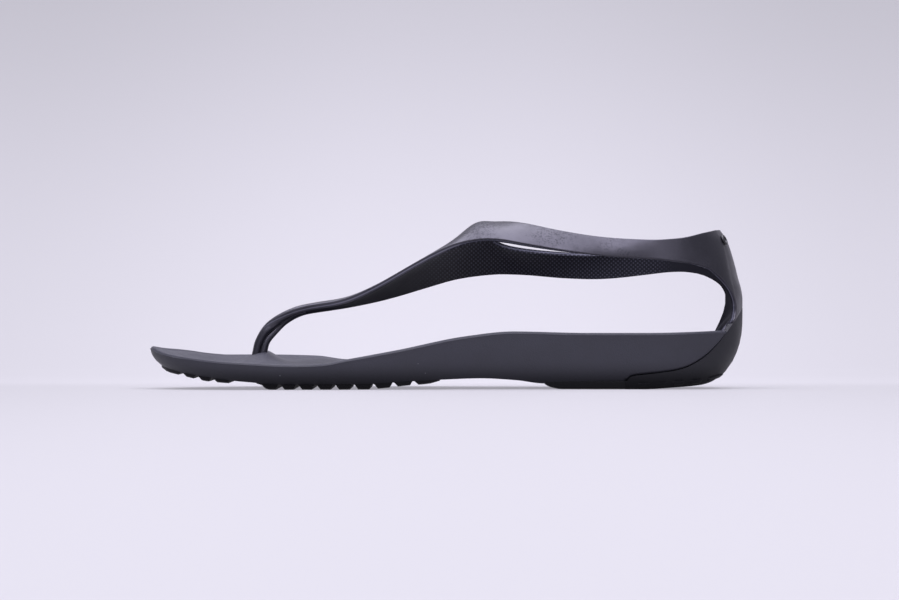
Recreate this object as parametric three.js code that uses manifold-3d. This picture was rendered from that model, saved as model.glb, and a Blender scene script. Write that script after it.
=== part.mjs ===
// A right-foot moulded flip flop: foam footbed, elastic one-piece upper, heel cup and tread pads.
// Millimetres, +Z up. The toe points along -X, the heel along +X, the medial (inner) side along -Y.
import * as THREE from 'three';
import { mergeVertices } from 'three/addons/utils/BufferGeometryUtils.js';
import Module from 'manifold-3d';

const wasm = await Module();
wasm.setup();

// ---------------------------------------------------------------- driving dimensions
const SEAM_GAP = 0.3; // clearance between pieces that touch
const TOE_X = -126; // foremost point
const HEEL_X = 126; // rearmost point
const OUTLINE_STEPS = 84; // points round the plan outline
const WALL_SOFTNESS = 2.7; // how late the side wall tucks under
const SIDE_TUCK = 4.5; // how far the side wall tucks in at the bottom edge
const REAR_TUCK = 11.5; // the same at the rounded back of the heel
const HEEL_WALL_HEIGHT = 26; // height over which the heel wall tucks in
const CUP_THICKNESS = 2.3;
const CUP_FRONT_X = 76;
const CUP_TOP_Z = 36; // above the highest point of the cup's edge
const TAB_SLOT_TOP_Z = 34; // the collar's tab sinks into the footbed below this height
const PAD_EMBED = 1.4; // how deep a tread pad sits in the sole
const STRAP_HALF = 1.1; // half the strap's thickness
const COLLAR_CENTRE_X = 88; // centre of the collar's plan ellipse
const COLLAR_MEDIAL_Y = 31.5;
const COLLAR_LATERAL_Y = 33;
const POST_HALF = 2.35; // half the toe post's thickness
const POST = { footX: -82, y: -12 }; // foot of the toe post
const BUTTON = { radius: 6, low: 5.6, top: 7.6 }; // the post's anchor under the footbed
const PLUG = { radius: 7, low: 3.2, top: 5.3 }; // the disc that closes the button's recess
const HEEL_GROOVE = { width: 2, length: 38, depth: 1.2, y: 1.5 };
const BIG = 200; // longer than anything it cuts

// ---------------------------------------------------------------- small helpers
const vec = (x, y, z) => new THREE.Vector3(x, y, z);
const blend = (a, b, t) => a + (b - a) * t;
const limit = (value, low, high) => Math.min(high, Math.max(low, value));

// Smooth height or width along the shoe through a few [x, value] points: a cubic Hermite curve that
// is level wherever the points turn back or run flat, so it never overshoots them
function along(points) {
  const rise = (i, j) => (points[j][1] - points[i][1]) / (points[j][0] - points[i][0]);
  const slope = (i) => {
    if (i === 0) return rise(0, 1);
    if (i === points.length - 1) return rise(i - 1, i);
    const [before, after] = [rise(i - 1, i), rise(i, i + 1)];
    return before * after > 0 ? (2 * before * after) / (before + after) : 0;
  };
  return (x) => {
    const inside = limit(x, points[0][0], points.at(-1)[0]);
    const i = Math.min(points.length - 2, points.findLastIndex((p) => p[0] <= inside));
    const [x0, y0] = points[i];
    const [x1, y1] = points[i + 1];
    const width = x1 - x0;
    const t = (inside - x0) / width;
    const curveIn = (t ** 3 - 2 * t ** 2 + t) * width * slope(i);
    const curveOut = (t ** 3 - t ** 2) * width * slope(i + 1);
    return y0 + (y1 - y0) * (3 * t ** 2 - 2 * t ** 3) + curveIn + curveOut;
  };
}

function geometryFrom(points, triangles) {
  const geometry = new THREE.BufferGeometry();
  const coordinates = points.flatMap((p) => [p.x, p.y, p.z]);
  geometry.setAttribute('position', new THREE.Float32BufferAttribute(coordinates, 3));
  geometry.setIndex(triangles);
  return geometry;
}

function toSolid(geometry) {
  const bare = geometry.clone();
  bare.deleteAttribute('normal');
  bare.deleteAttribute('uv');
  const welded = mergeVertices(bare, 1e-4);
  const vertProperties = new Float32Array(welded.attributes.position.array);
  const triVerts = new Uint32Array(welded.index.array);
  return new wasm.Manifold(new wasm.Mesh({ numProp: 3, vertProperties, triVerts }));
}

function toGeometry(solid) {
  const { vertProperties, triVerts } = solid.getMesh();
  const geometry = new THREE.BufferGeometry();
  geometry.setAttribute('position', new THREE.BufferAttribute(vertProperties, 3));
  geometry.setIndex(new THREE.BufferAttribute(triVerts, 1));
  geometry.computeVertexNormals();
  return geometry;
}

// A side-view outline of [x, z] points, extruded right across the shoe
function acrossShoe(outline) {
  const shape = new THREE.Shape(outline.map(([x, z]) => new THREE.Vector2(x, z)));
  const geometry = new THREE.ExtrudeGeometry(shape, { depth: BIG, bevelEnabled: false });
  return toSolid(geometry.rotateX(Math.PI / 2).translate(0, BIG / 2, 0));
}

// A plan outline extruded upwards from z0 to z1
function uprightPrism(planPoints, z0, z1) {
  const shape = new THREE.Shape(planPoints.map((p) => new THREE.Vector2(p.x, p.y)));
  const geometry = new THREE.ExtrudeGeometry(shape, { depth: z1 - z0, bevelEnabled: false });
  return toSolid(geometry.translate(0, 0, z0));
}

// An upright disc with its flat faces at z0 and z1
function disc(x, y, radius, z0, z1, sides = 28) {
  const geometry = new THREE.CylinderGeometry(radius, radius, z1 - z0, sides);
  return toSolid(geometry.rotateX(Math.PI / 2).translate(x, y, (z0 + z1) / 2));
}

// ---------------------------------------------------------------- sole profile curves
const medialRim = along([[-126, 18], [-119, 15.4], [-108, 13.5], [-95, 12.1], [-80, 11.2], [-65, 10.6],
  [-53, 10.9], [-43, 12.6], [-20, 16.8], [8, 22.4], [28, 24.4], [58, 23.8], [84, 23.8], [118, 24.7]]);
const lateralRim = along([[-126, 18], [-119, 17.6], [-108, 16.2], [-96, 14.4], [-76, 13.9], [-57, 13.4],
  [-43, 11.8], [-20, 12.6], [0, 14.6], [30, 18.8], [60, 21.4], [90, 22.9], [118, 24.4]]);
const bedCentre = along([[-126, 16.8], [-116, 13.5], [-98, 11], [-60, 10.6], [-35, 10.8], [-10, 13.5],
  [25, 17.5], [60, 17.8], [92, 17.2], [112, 19.5], [120, 22]]);
const underside = along([[-126, 17], [-125.1, 14.1], [-123.3, 11.9], [-121.5, 10.3], [-113.3, 7.6],
  [-104.7, 5.9], [-97.8, 4.8], [-91, 3.9], [-81, 3], [-72, 2.2], [-35, 2.3], [-20, 3.2], [-2, 4.1],
  [14, 4.6], [29, 3.8], [41, 2.4], [84, 2.4], [98, 3.1], [107, 3.9], [114.5, 4.6], [126, 9]]);
const cupFloor = along([[41, 2], [48, 0], [82, 0], [98, 0.9], [107, 1.7], [112.8, 3.3], [114.5, 4.3],
  [126, 9]]);
const cupEdge = [[125.9, 34.3], [123.2, 30.6], [120.7, 27.4], [117.7, 23.3], [114.9, 19.1], [110.7, 14.5],
  [106.2, 11.3], [101.2, 9], [95.6, 7.7], [84.3, 6.3], [78.2, 5.6], [76.6, 4.9], [CUP_FRONT_X, 3.6]];

// ---------------------------------------------------------------- plan outline
const OUTLINE_POINTS = [[-126, -11], [-117.5, -31], [-96, -42], [-62, -46], [-20, -38.5], [25, -29.5],
  [68, -32], [101, -31], [120, -19], [126, 0], [120, 19.5], [101, 32], [68, 35.5], [20, 39], [-25, 45],
  [-62, 45], [-94, 35], [-116, 14]];

// Plan outline as points that carry their outward direction
function planOutline(steps) {
  const corners = OUTLINE_POINTS.map(([x, y]) => vec(x, y, 0));
  const loop = new THREE.CatmullRomCurve3(corners, true, 'centripetal');
  const points = loop.getSpacedPoints(steps).slice(0, steps);
  return points.map((p, i) => {
    const before = points.at(i - 1);
    const after = points[(i + 1) % steps];
    const out = vec(after.y - before.y, before.x - after.x, 0).normalize();
    return { x: limit(p.x, TOE_X, HEEL_X), y: p.y, out };
  });
}

const outline = planOutline(OUTLINE_STEPS);
const inwards = (p, distance, z) => vec(p.x - p.out.x * distance, p.y - p.out.y * distance, z);
const insetPlan = (distance) => outline.map((p) => inwards(p, distance, 0));

// How far the side wall lies inside the plan outline at height z
function wallInset(p, z, bottomZ, height) {
  const rear = Math.max(0, p.out.x) ** 2 * (p.x > 80 ? 1 : 0);
  const share = limit(1 - (z - bottomZ) / height, 0, 1);
  const rearTuck = REAR_TUCK * (0.8 * share ** 2.4 + 0.2 * share ** 16);
  return blend(SIDE_TUCK * share ** WALL_SOFTNESS, rearTuck, rear);
}

// Height over which the side wall tucks in: low at the toes, high from the arch back
const wallHeight = (x) => blend(9, HEEL_WALL_HEIGHT, limit((x + 60) / 80, 0, 1));

// Closed body made of rings round the outline, the first and last ring filled flat
function ringBody(rings) {
  const steps = rings[0].length;
  const triangles = [];
  for (let r = 0; r + 1 < rings.length; r += 1) {
    for (let i = 0; i < steps; i += 1) {
      const next = (i + 1) % steps;
      const [a, b] = [r * steps + i, r * steps + next];
      const [c, d] = [a + steps, b + steps];
      triangles.push(a, b, d, a, d, c);
    }
  }
  const cap = (ring, offset, flip) => {
    const flat = ring.map((p) => new THREE.Vector2(p.x, p.y));
    for (const [a, b, c] of THREE.ShapeUtils.triangulateShape(flat, [])) {
      triangles.push(offset + a, offset + (flip ? c : b), offset + (flip ? b : c));
    }
  };
  cap(rings[0], 0, true);
  cap(rings.at(-1), (rings.length - 1) * steps, false);
  return toSolid(geometryFrom(rings.flat(), triangles));
}

// The point at height z on the side wall, moved a further distance inwards
function wallPoint(p, z, bottomZ, further = 0) {
  return inwards(p, wallInset(p, z, bottomZ, wallHeight(p.x)) + further, z);
}

// ---------------------------------------------------------------- footbed
const SPINE = { toeX: -92, heelX: 86, toeY: -7, heelY: 0 };

function spinePoint(p) {
  const x = limit(p.x, SPINE.toeX, SPINE.heelX);
  const y = blend(SPINE.toeY, SPINE.heelY, (x - SPINE.toeX) / (SPINE.heelX - SPINE.toeX));
  return vec(x, y, 0);
}

function rimHeight(p) {
  const lateralShare = limit((p.y + 24) / 48, 0, 1);
  return blend(medialRim(p.x), lateralRim(p.x), lateralShare);
}

// The crest that the toes grip, just at the toe post
function toeCrest(x, y) {
  return 4.4 * Math.exp(-(((x + 76) / 7) ** 2)) * Math.exp(-((y / 34) ** 4));
}

const wallLevels = [0, 0.1, 0.28, 0.55, 0.9];
const bedShares = [0.06, 0.17, 0.34, 0.6, 0.88];

function footbedBody() {
  const bottomOf = (p) => underside(p.x - p.out.x * wallInset(p, 0, 0, 1));
  const inner = outline.map((p) => {
    const edge = wallPoint(p, bottomOf(p), bottomOf(p));
    const middle = edge.clone().lerp(spinePoint(p), 0.8);
    return middle.setZ(underside(middle.x));
  });
  const wall = wallLevels.map((level) => outline.map((p) => {
    const bottomZ = bottomOf(p);
    return wallPoint(p, blend(bottomZ, rimHeight(p), level), bottomZ);
  }));
  const rim = outline.map((p) => wallPoint(p, rimHeight(p), bottomOf(p), 0.8));
  const bed = bedShares.map((share) => outline.map((p, i) => {
    const place = rim[i].clone().lerp(spinePoint(p), share);
    const centre = bedCentre(place.x) + toeCrest(place.x, place.y);
    const rise = THREE.MathUtils.smoothstep(share, 0, 0.5);
    return place.setZ(blend(rimHeight(p) - 0.4, centre, rise));
  }));
  return ringBody([inner, ...wall, rim, ...bed]);
}

// ---------------------------------------------------------------- heel cup
// The whole heel form, as far inside its outer surface as the inset says
function heelForm(inset) {
  const levels = [0, 1.2, 3.5, 7, 12, 18, CUP_TOP_Z];
  const rings = levels.map((rise) => outline.map((p) => {
    const bottomZ = cupFloor(p.x - p.out.x * wallInset(p, 0, 0, 1));
    const z = rise === CUP_TOP_Z ? CUP_TOP_Z + 1 - inset : bottomZ + inset + rise;
    return wallPoint(p, z - inset * 0.3, bottomZ, inset).setZ(z);
  }));
  const floor = rings[0].map((edge, i) => {
    const middle = edge.clone().lerp(spinePoint(outline[i]), 0.8);
    return middle.setZ(cupFloor(middle.x) + inset);
  });
  return ringBody([floor, ...rings]);
}

// Everything behind and below the cup's top edge
function cupRegion(grow) {
  const edge = cupEdge.map(([x, z]) => [x - grow * 0.6, z + grow]);
  const [rearTop, front, below] = [cupEdge[0][1] + grow, CUP_FRONT_X - grow, -9];
  return acrossShoe([[HEEL_X + 9, rearTop], ...edge, [front, below], [HEEL_X + 9, below]]);
}

// ---------------------------------------------------------------- upper: a sheet of quads with a thickness
// Sections run across the band: seven points on the band, four on each strap.
class Sheet {
  constructor() {
    this.points = [];
    this.halves = [];
    this.quads = [];
    this.index = new Map();
  }

  add(point, half) {
    const key = [point.x, point.y, point.z].map((v) => v.toFixed(3)).join();
    if (!this.index.has(key)) {
      this.index.set(key, this.points.length);
      this.points.push(point.clone());
      this.halves.push(half);
    }
    return this.index.get(key);
  }

  addGrid(rows, halfAt) {
    const ids = rows.map((row, i) => row.map((point, j) => this.add(point, halfAt(i, j))));
    for (let i = 0; i + 1 < ids.length; i += 1) {
      for (let j = 0; j + 1 < ids[i].length; j += 1) {
        this.quads.push([ids[i][j], ids[i + 1][j], ids[i + 1][j + 1], ids[i][j + 1]]);
      }
    }
  }
}

function quadNormal(points, [a, b, , d]) {
  return points[b].clone().sub(points[a]).cross(points[d].clone().sub(points[a])).normalize();
}

// Gives the sheet its thickness and rounded free edges; grow thickens it for a clearance cutter
function thicken(sheet, grow = 0, outerGrow = grow) {
  const { points, halves, quads } = sheet;
  const normals = points.map(() => vec(0, 0, 0));
  const outward = points.map(() => vec(0, 0, 0));
  const edges = new Map();
  for (const quad of quads) {
    const normal = quadNormal(points, quad);
    quad.forEach((id, k) => {
      normals[id].add(normal);
      edges.set(`${id},${quad[(k + 1) % 4]}`, normal);
    });
  }
  const free = [...edges].map(([key, normal]) => [...key.split(',').map(Number), normal])
    .filter(([a, b]) => !edges.has(`${b},${a}`));
  for (const [a, b, normal] of free) {
    const away = points[b].clone().sub(points[a]).normalize().cross(normal);
    outward[a].add(away);
    outward[b].add(away);
  }
  normals.forEach((n) => n.normalize());
  outward.forEach((n) => n.normalize());
  const count = points.length;
  const moved = (directions, distance) => (
    points.map((p, i) => p.clone().addScaledVector(directions[i], distance(i))));
  const outer = moved(normals, (i) => halves[i] + outerGrow);
  const inner = moved(normals, (i) => -halves[i] - grow);
  const rimmed = moved(outward, (i) => halves[i] * 0.8 + grow);
  const triangles = [];
  for (const [a, b, c, d] of quads) {
    triangles.push(a, b, c, a, c, d);
    triangles.push(count + a, count + c, count + b, count + a, count + d, count + c);
  }
  for (const [a, b] of free) {
    const [ra, rb] = [2 * count + a, 2 * count + b];
    triangles.push(a, ra, rb, a, rb, b);
    triangles.push(ra, count + a, count + b, ra, count + b, rb);
  }
  return toSolid(geometryFrom([...outer, ...inner, ...rimmed], triangles));
}

// Rows between hand-placed sections, along a Catmull-Rom curve for each column
function loft(sections, spanSteps, before = null, after = null) {
  const columnOf = (k) => {
    if (k < 0) return before ?? sections[0].map((p, j) => p.clone().multiplyScalar(2).sub(sections[1][j]));
    if (k >= sections.length) {
      return after ?? sections.at(-1).map((p, j) => p.clone().multiplyScalar(2).sub(sections.at(-2)[j]));
    }
    return sections[k];
  };
  const rows = [];
  for (let k = 0; k + 1 < sections.length; k += 1) {
    const [s0, s1, s2, s3] = [k - 1, k, k + 1, k + 2].map(columnOf);
    for (let step = 0; step < spanSteps; step += 1) {
      const t = step / spanSteps;
      rows.push(s1.map((p1, j) => {
        const tangent1 = s2[j].clone().sub(s0[j]).multiplyScalar(0.5);
        const tangent2 = s3[j].clone().sub(p1).multiplyScalar(0.5);
        return p1.clone().multiplyScalar(2 * t ** 3 - 3 * t ** 2 + 1)
          .addScaledVector(tangent1, t ** 3 - 2 * t ** 2 + t)
          .addScaledVector(s2[j], 3 * t ** 2 - 2 * t ** 3)
          .addScaledVector(tangent2, t ** 3 - t ** 2);
      }));
    }
  }
  rows.push(sections.at(-1).map((p) => p.clone()));
  return rows;
}

// A curved section through its medial edge, middle and lateral edge
function bandSection([medial, middle, lateral]) {
  const [m, c, l] = [medial, middle, lateral].map((p) => vec(...p));
  const control = c.clone().multiplyScalar(2).addScaledVector(m, -0.5).addScaledVector(l, -0.5);
  return new THREE.QuadraticBezierCurve3(m, control, l).getPoints(6);
}

// A strap section from its lower to its upper edge, crowned outwards
function strapSection([lower, upper], crown) {
  const [a, b] = [vec(...lower), vec(...upper)];
  const bulge = (t) => vec(0, Math.sign(a.y) * crown * 4 * t * (1 - t), 0);
  return [0, 1 / 3, 2 / 3, 1].map((t) => a.clone().lerp(b, t).add(bulge(t)));
}

const BAND = [ // toe post, then the band up the instep: medial edge, middle, lateral edge
  [[-82.2, -12, 8], [-81.2, -12, 8], [-80.2, -12, 8]],
  [[-81.3, -12, 12], [-80.3, -12, 12], [-79.3, -12, 12]],
  [[-80.4, -12, 15.7], [-79.4, -12, 15.7], [-78.4, -12, 15.7]],
  [[-79.3, -12.2, 20], [-78.3, -12, 19.9], [-77.3, -11.8, 19.8]],
  [[-76.4, -12.6, 24.9], [-75.2, -12, 24.6], [-73.8, -11.2, 24.3]],
  [[-72.3, -13.4, 28.8], [-70.6, -12, 28.9], [-68.8, -10.2, 28.5]],
  [[-64.6, -14.2, 32.9], [-63.3, -11.6, 33.4], [-62.2, -8, 32.2]],
  [[-56.9, -15.2, 34.8], [-55.4, -10.8, 35.4], [-54, -5.2, 34.1]],
  [[-43, -17.2, 37.4], [-42, -9.2, 37.9], [-41.2, 0.6, 35.8]],
  [[-28.6, -19.4, 44], [-27, -7.4, 43.8], [-25.2, 8.4, 39]],
  [[-12.2, -22, 53.2], [-9.8, -6.4, 52.4], [-8.6, 17, 44]],
  [[1.9, -24.6, 60.6], [3.6, -5.6, 61], [5.8, 24, 48.1]],
  [[13, -26.8, 63.6], [12.6, -5.4, 68.2], [20.5, 29.6, 50]]];
const POST_SECTIONS = 6; // the sections of BAND that are thick, with a groove on each side

const MEDIAL_STRAP = [ // lower edge, upper edge
  [[22.5, -28.8, 63], [20.5, -14.6, 70.1]],
  [[33, -31, 61.4], [31.5, -21.8, 68.9]],
  [[49, -33.2, 59], [48, -28.3, 65.4]],
  [[68, -34, 57], [67, -31.6, 62.4]]];
const LATERAL_STRAP = [
  [[68, 36, 47.7], [67, 33.2, 56]],
  [[51, 36, 48.1], [49, 29.6, 56.8]],
  [[37, 34.2, 49.2], [31.5, 20, 58.8]],
  [[28, 32.2, 49.7], [21.5, 9.6, 61.8]]];

// Collar: rear surface by height, then the angle where each free edge lies
const collarRearX = along([[8, 114], [14, 118.4], [20, 120.6], [26, 121.6], [31, 122], [34, 122.6],
  [36.2, 124.8], [39.4, 124.4], [47.6, 123], [56.4, 120.7], [62.9, 118.4], [67, 115.6]]);
const collarTopZ = along([[-90, 61.7], [-68, 62.6], [-54, 64], [-40, 65], [-22, 65.8], [0, 66],
  [22, 65.8], [40, 64.8], [54, 63.4], [68, 61.4], [90, 59.4]]);
const collarLowZ = along([[-90, 55.8], [-76, 54.8], [-65, 53.9], [-54, 52], [54, 50.2], [65, 51],
  [76, 50.8], [90, 49.8]]);
const neckMedial = along([[8, 24], [24, 24], [27, 22], [30, 20], [35, 19.5], [38, 22], [41, 27],
  [43.7, 32], [47.8, 42], [52, 54]]);
const neckLateral = along([[8, 34], [20, 40], [25, 39], [31, 31], [36.4, 27.5], [39.6, 28.5], [44, 36],
  [47, 44], [51, 54]]);
const NECK_ANGLE = 54; // where the neck panel's sides meet the collar's lower edge

function collarPoint(degrees, z) {
  const angle = THREE.MathUtils.degToRad(degrees);
  const lean = blend(1, 0.95, limit((z - 50) / 16, 0, 1)) * blend(0.92, 1, limit((z - 8) / 28, 0, 1));
  const halfWidth = (degrees < 0 ? COLLAR_MEDIAL_Y : COLLAR_LATERAL_Y) * lean;
  const reach = collarRearX(z) - COLLAR_CENTRE_X;
  return vec(COLLAR_CENTRE_X + reach * Math.cos(angle), halfWidth * Math.sin(angle), z);
}

function collarSection(degrees) {
  const [low, top] = [collarLowZ(degrees), collarTopZ(degrees)];
  return [0, 1 / 3, 2 / 3, 1].map((t) => collarPoint(degrees, blend(low, top, t)));
}

function upperSheet() {
  const sheet = new Sheet();
  const band = BAND.map(bandSection);
  const medialStrap = MEDIAL_STRAP.map((s) => strapSection(s, 0.8));
  const lateralStrap = LATERAL_STRAP.map((s) => strapSection(s, 0.8));
  const bandStart = band.at(-1);
  const [medialStart, lateralStart] = [medialStrap[0].slice(0, 3), lateralStrap.at(-1).slice(0, 3)];
  const towards = [...medialStart, bandStart[3], ...lateralStart.reverse()];
  const stepsPerSpan = 2;
  const bandRows = loft(band, stepsPerSpan, null, towards);
  const bandHalf = (i, j) => {
    const section = i / stepsPerSpan;
    const ribs = limit(POST_SECTIONS - section, 0, 1);
    const thick = blend(STRAP_HALF, POST_HALF, limit((9 - section) / 5, 0, 1));
    return thick * (1 - 0.3 * ribs * (1 - Math.abs(j - 3) / 3));
  };
  sheet.addGrid(bandRows, bandHalf);

  const neckAngles = Array.from({ length: 13 }, (_, k) => blend(-NECK_ANGLE, NECK_ANGLE, k / 12));
  const sideAngles = [-90, -78, -66];
  const angles = [...sideAngles, ...neckAngles, ...sideAngles.map((a) => -a).reverse()];
  const collar = angles.map(collarSection);
  const before = band.at(-2).slice(0, 4);
  const after = band.at(-2).slice(3).reverse();
  const medialRows = loft([bandStart.slice(0, 4), ...medialStrap, collar[0]], 3, before, collar[1]);
  const lateralEnd = bandStart.slice(3).reverse();
  const lateralRows = loft([collar.at(-1), ...lateralStrap, lateralEnd], 3, collar.at(-2), after);
  sheet.addGrid([...medialRows, ...collar.slice(1, -1), ...lateralRows], () => STRAP_HALF);

  // The neck panel runs down from the collar's lower edge to the tab behind the footbed
  const levels = [48.5, 46, 43, 40, 37.4, 35.6, 33.4, 31.6, 28, 22, 15, 9];
  const panel = levels.map((z) => neckAngles.map((angle) => {
    const edge = angle < 0 ? neckMedial(z) : neckLateral(z);
    return collarPoint(angle / NECK_ANGLE * edge, z);
  }));
  const lowerEdge = neckAngles.map((angle) => collarSection(angle)[0]);
  const rows = [lowerEdge, ...panel].reverse();
  const columns = neckAngles.map((_, k) => rows.map((row) => row[k]));
  sheet.addGrid(columns, () => STRAP_HALF);
  return sheet;
}

// ---------------------------------------------------------------- tread pads
// A zigzag from one groove to the next: lug faces on the ground line, grooves cut up to the sole
function lugProfile(startX, endX, grooves, bottom, rootWidth, mouthWidth) {
  const points = [[startX, underside(startX) - 0.2]];
  for (const x of grooves) {
    points.push([x - mouthWidth / 2, bottom(x - mouthWidth / 2)]);
    points.push([x - rootWidth / 2, underside(x) - 0.2], [x + rootWidth / 2, underside(x) - 0.2]);
    points.push([x + mouthWidth / 2, bottom(x + mouthWidth / 2)]);
  }
  points.push([endX, bottom(endX)]);
  return points;
}

// A pad follows the sole's outline, sits PAD_EMBED deep in it and has the given underside
function treadPad(profile, inset) {
  const [first, last] = [profile[0][0], profile.at(-1)[0]];
  const length = last - first;
  const roof = Array.from({ length: 9 }, (_, k) => first + length * (1 - k / 8))
    .map((x) => [x, underside(x) + PAD_EMBED]);
  const plan = uprightPrism(insetPlan(inset), -5, 30);
  return plan.intersect(acrossShoe([...profile, ...roof]));
}

// The pocket that a pad sits in
function padPocket(startX, endX, inset) {
  const xs = spaced(startX - SEAM_GAP, endX + SEAM_GAP, 10);
  const roof = xs.map((x) => [x, underside(x) + PAD_EMBED + SEAM_GAP]).reverse();
  const plan = uprightPrism(insetPlan(inset - SEAM_GAP), -5, 30);
  return plan.intersect(acrossShoe([[startX - SEAM_GAP, -5], [endX + SEAM_GAP, -5], ...roof]));
}

const TOE_PAD = { start: -121, end: -91.6, inset: 5.2 };
const BALL_PAD = { start: -79.9, end: -3, inset: 5.2 };
const HEEL_PAD = { start: 41.4, end: 75.2, inset: 5.2 };

const toePadBottom = along([[-121, 9.2], [-117.7, 7.2], [-113.3, 6.2], [-106.9, 4.7], [-100.2, 3.4],
  [-92, 2.7]]);
const ballPadBottom = along([[-80, 1.9], [-76, 0], [-35, 0], [-27, 0.5], [-17, 1.6], [-8, 2.3],
  [-3, 3.6]]);
const heelPadBottom = along([[41, 2.1], [43.4, 0.9], [48.2, 0], [76, 0]]);

function spaced(start, end, count) {
  return Array.from({ length: count }, (_, k) => blend(start, end, k / (count - 1)));
}

function toeTread() {
  const grooves = spaced(-111.3, -98.2, 3);
  const profile = lugProfile(TOE_PAD.start, TOE_PAD.end, grooves, toePadBottom, 0.8, 3.2);
  return treadPad(profile, TOE_PAD.inset);
}

function ballTread() {
  const grooves = spaced(-70.6, -13.6, 8);
  const profile = lugProfile(BALL_PAD.start, BALL_PAD.end, grooves, ballPadBottom, 1.4, 3.9);
  const plugClearance = disc(POST.footX, POST.y, PLUG.radius + SEAM_GAP, -5, 20);
  return treadPad(profile, BALL_PAD.inset).subtract(plugClearance);
}

function heelTread() {
  const xs = [41.4, 43.4, 46, 48.2, HEEL_PAD.end];
  const pad = treadPad(xs.map((x) => [x, heelPadBottom(x)]), HEEL_PAD.inset);
  const { width, length, depth, y } = HEEL_GROOVE;
  const grooves = spaced(52, 70, 4).map((x) => (
    toSolid(new THREE.BoxGeometry(width, length, 2 * depth).translate(x, y, 0))));
  return grooves.reduce((solid, groove) => solid.subtract(groove), pad);
}

// ---------------------------------------------------------------- heel stud
const STUD = { angle: -21, z: 62.6, headRadius: 2.3, headHeight: 0.7, shankRadius: 1 };
const WASHER = { radius: 2.6, thickness: 0.9 };
const SEAT_REACH = 4; // how far the stud's seats are cut out from the collar's middle

// A turned profile of [radius, depth] points, pointing outwards from the collar at the stud
function atStud(profile) {
  const turned = new THREE.LatheGeometry(profile.map(([r, d]) => new THREE.Vector2(r, d)), 24);
  const here = collarPoint(STUD.angle, STUD.z);
  const sideways = collarPoint(STUD.angle + 1, STUD.z).sub(here);
  const upwards = collarPoint(STUD.angle, STUD.z + 1).sub(here);
  const out = sideways.cross(upwards).normalize();
  turned.applyQuaternion(new THREE.Quaternion().setFromUnitVectors(vec(0, 1, 0), out));
  return toSolid(turned.translate(here.x, here.y, here.z));
}

const outerFace = STRAP_HALF + SEAM_GAP;

function studPiece() {
  const { headRadius, headHeight, shankRadius } = STUD;
  const tip = -outerFace - WASHER.thickness - SEAM_GAP;
  return atStud([[0, tip], [shankRadius, tip], [shankRadius, outerFace],
    [headRadius, outerFace], [headRadius, outerFace + 0.4], [headRadius - 0.3, outerFace + headHeight],
    [1.4, outerFace + headHeight], [1.1, outerFace + 0.3], [0, outerFace + 0.3]]);
}

function studWasher() {
  const bore = STUD.shankRadius + SEAM_GAP;
  const edge = WASHER.radius;
  const low = -outerFace - WASHER.thickness;
  return atStud([[bore, low], [edge, low], [edge, -outerFace], [bore, -outerFace], [bore, low]]);
}

// Hole for the shank, with flat seats for the head and the washer
function studHole() {
  const bore = STUD.shankRadius + SEAM_GAP;
  const [headSeat, washerSeat] = [STUD.headRadius + SEAM_GAP, WASHER.radius + SEAM_GAP];
  return atStud([[0, -SEAT_REACH], [washerSeat, -SEAT_REACH], [washerSeat, -STRAP_HALF],
    [bore, -STRAP_HALF], [bore, STRAP_HALF], [headSeat, STRAP_HALF], [headSeat, SEAT_REACH],
    [0, SEAT_REACH]]);
}

// ---------------------------------------------------------------- assembly
const sheet = upperSheet();
const upperClearance = thicken(sheet, SEAM_GAP);
const button = disc(POST.footX, POST.y, BUTTON.radius, BUTTON.low, BUTTON.top);
const buttonRecess = disc(POST.footX, POST.y, PLUG.radius + SEAM_GAP, -1, BUTTON.top + SEAM_GAP);
const plug = disc(POST.footX, POST.y, PLUG.radius, PLUG.low, PLUG.top);
const upper = thicken(sheet).add(button).subtract(studHole());

// The tab's slot is open to the rear, where the cup covers it
const tabRegion = acrossShoe([[100, 7], [140, 7], [140, TAB_SLOT_TOP_Z], [100, TAB_SLOT_TOP_Z]]);
const tabSlot = thicken(sheet, SEAM_GAP, 9).intersect(tabRegion);
const footbed = footbedBody()
  .subtract(cupRegion(SEAM_GAP).subtract(heelForm(CUP_THICKNESS + SEAM_GAP)))
  .subtract(tabSlot).subtract(upperClearance).subtract(buttonRecess)
  .subtract(padPocket(TOE_PAD.start, TOE_PAD.end, TOE_PAD.inset))
  .subtract(padPocket(BALL_PAD.start, BALL_PAD.end, BALL_PAD.inset))
  .subtract(padPocket(HEEL_PAD.start, HEEL_PAD.end, HEEL_PAD.inset));
const cupShell = heelForm(0).subtract(heelForm(CUP_THICKNESS));
const heelCup = cupShell.intersect(cupRegion(0)).subtract(upperClearance);

const foam = new THREE.MeshStandardMaterial({ color: 0x34343c, roughness: 0.75, metalness: 0 });
const satin = new THREE.MeshStandardMaterial({ color: 0x2c2c31, roughness: 0.45, metalness: 0 });
const cupFoam = new THREE.MeshStandardMaterial({ color: 0x26262c, roughness: 0.65, metalness: 0 });
const treadRubber = new THREE.MeshStandardMaterial({ color: 0x2a2a30, roughness: 0.8, metalness: 0 });
const studPlastic = new THREE.MeshStandardMaterial({ color: 0x202024, roughness: 0.35, metalness: 0 });

const shoe = new THREE.Group();
const pieces = [
  ['footbed', footbed, foam],
  ['upper', upper, satin],
  ['heel_cup', heelCup, cupFoam],
  ['toe_tread', toeTread(), treadRubber],
  ['ball_tread', ballTread(), treadRubber],
  ['heel_tread', heelTread(), treadRubber],
  ['toe_post_plug', plug, cupFoam],
  ['collar_stud', studPiece(), studPlastic],
  ['collar_stud_washer', studWasher(), studPlastic],
];
for (const [name, solid, material] of pieces) {
  const mesh = new THREE.Mesh(toGeometry(solid), material.clone());
  mesh.name = name;
  shoe.add(mesh);
}

export default shoe;
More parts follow.
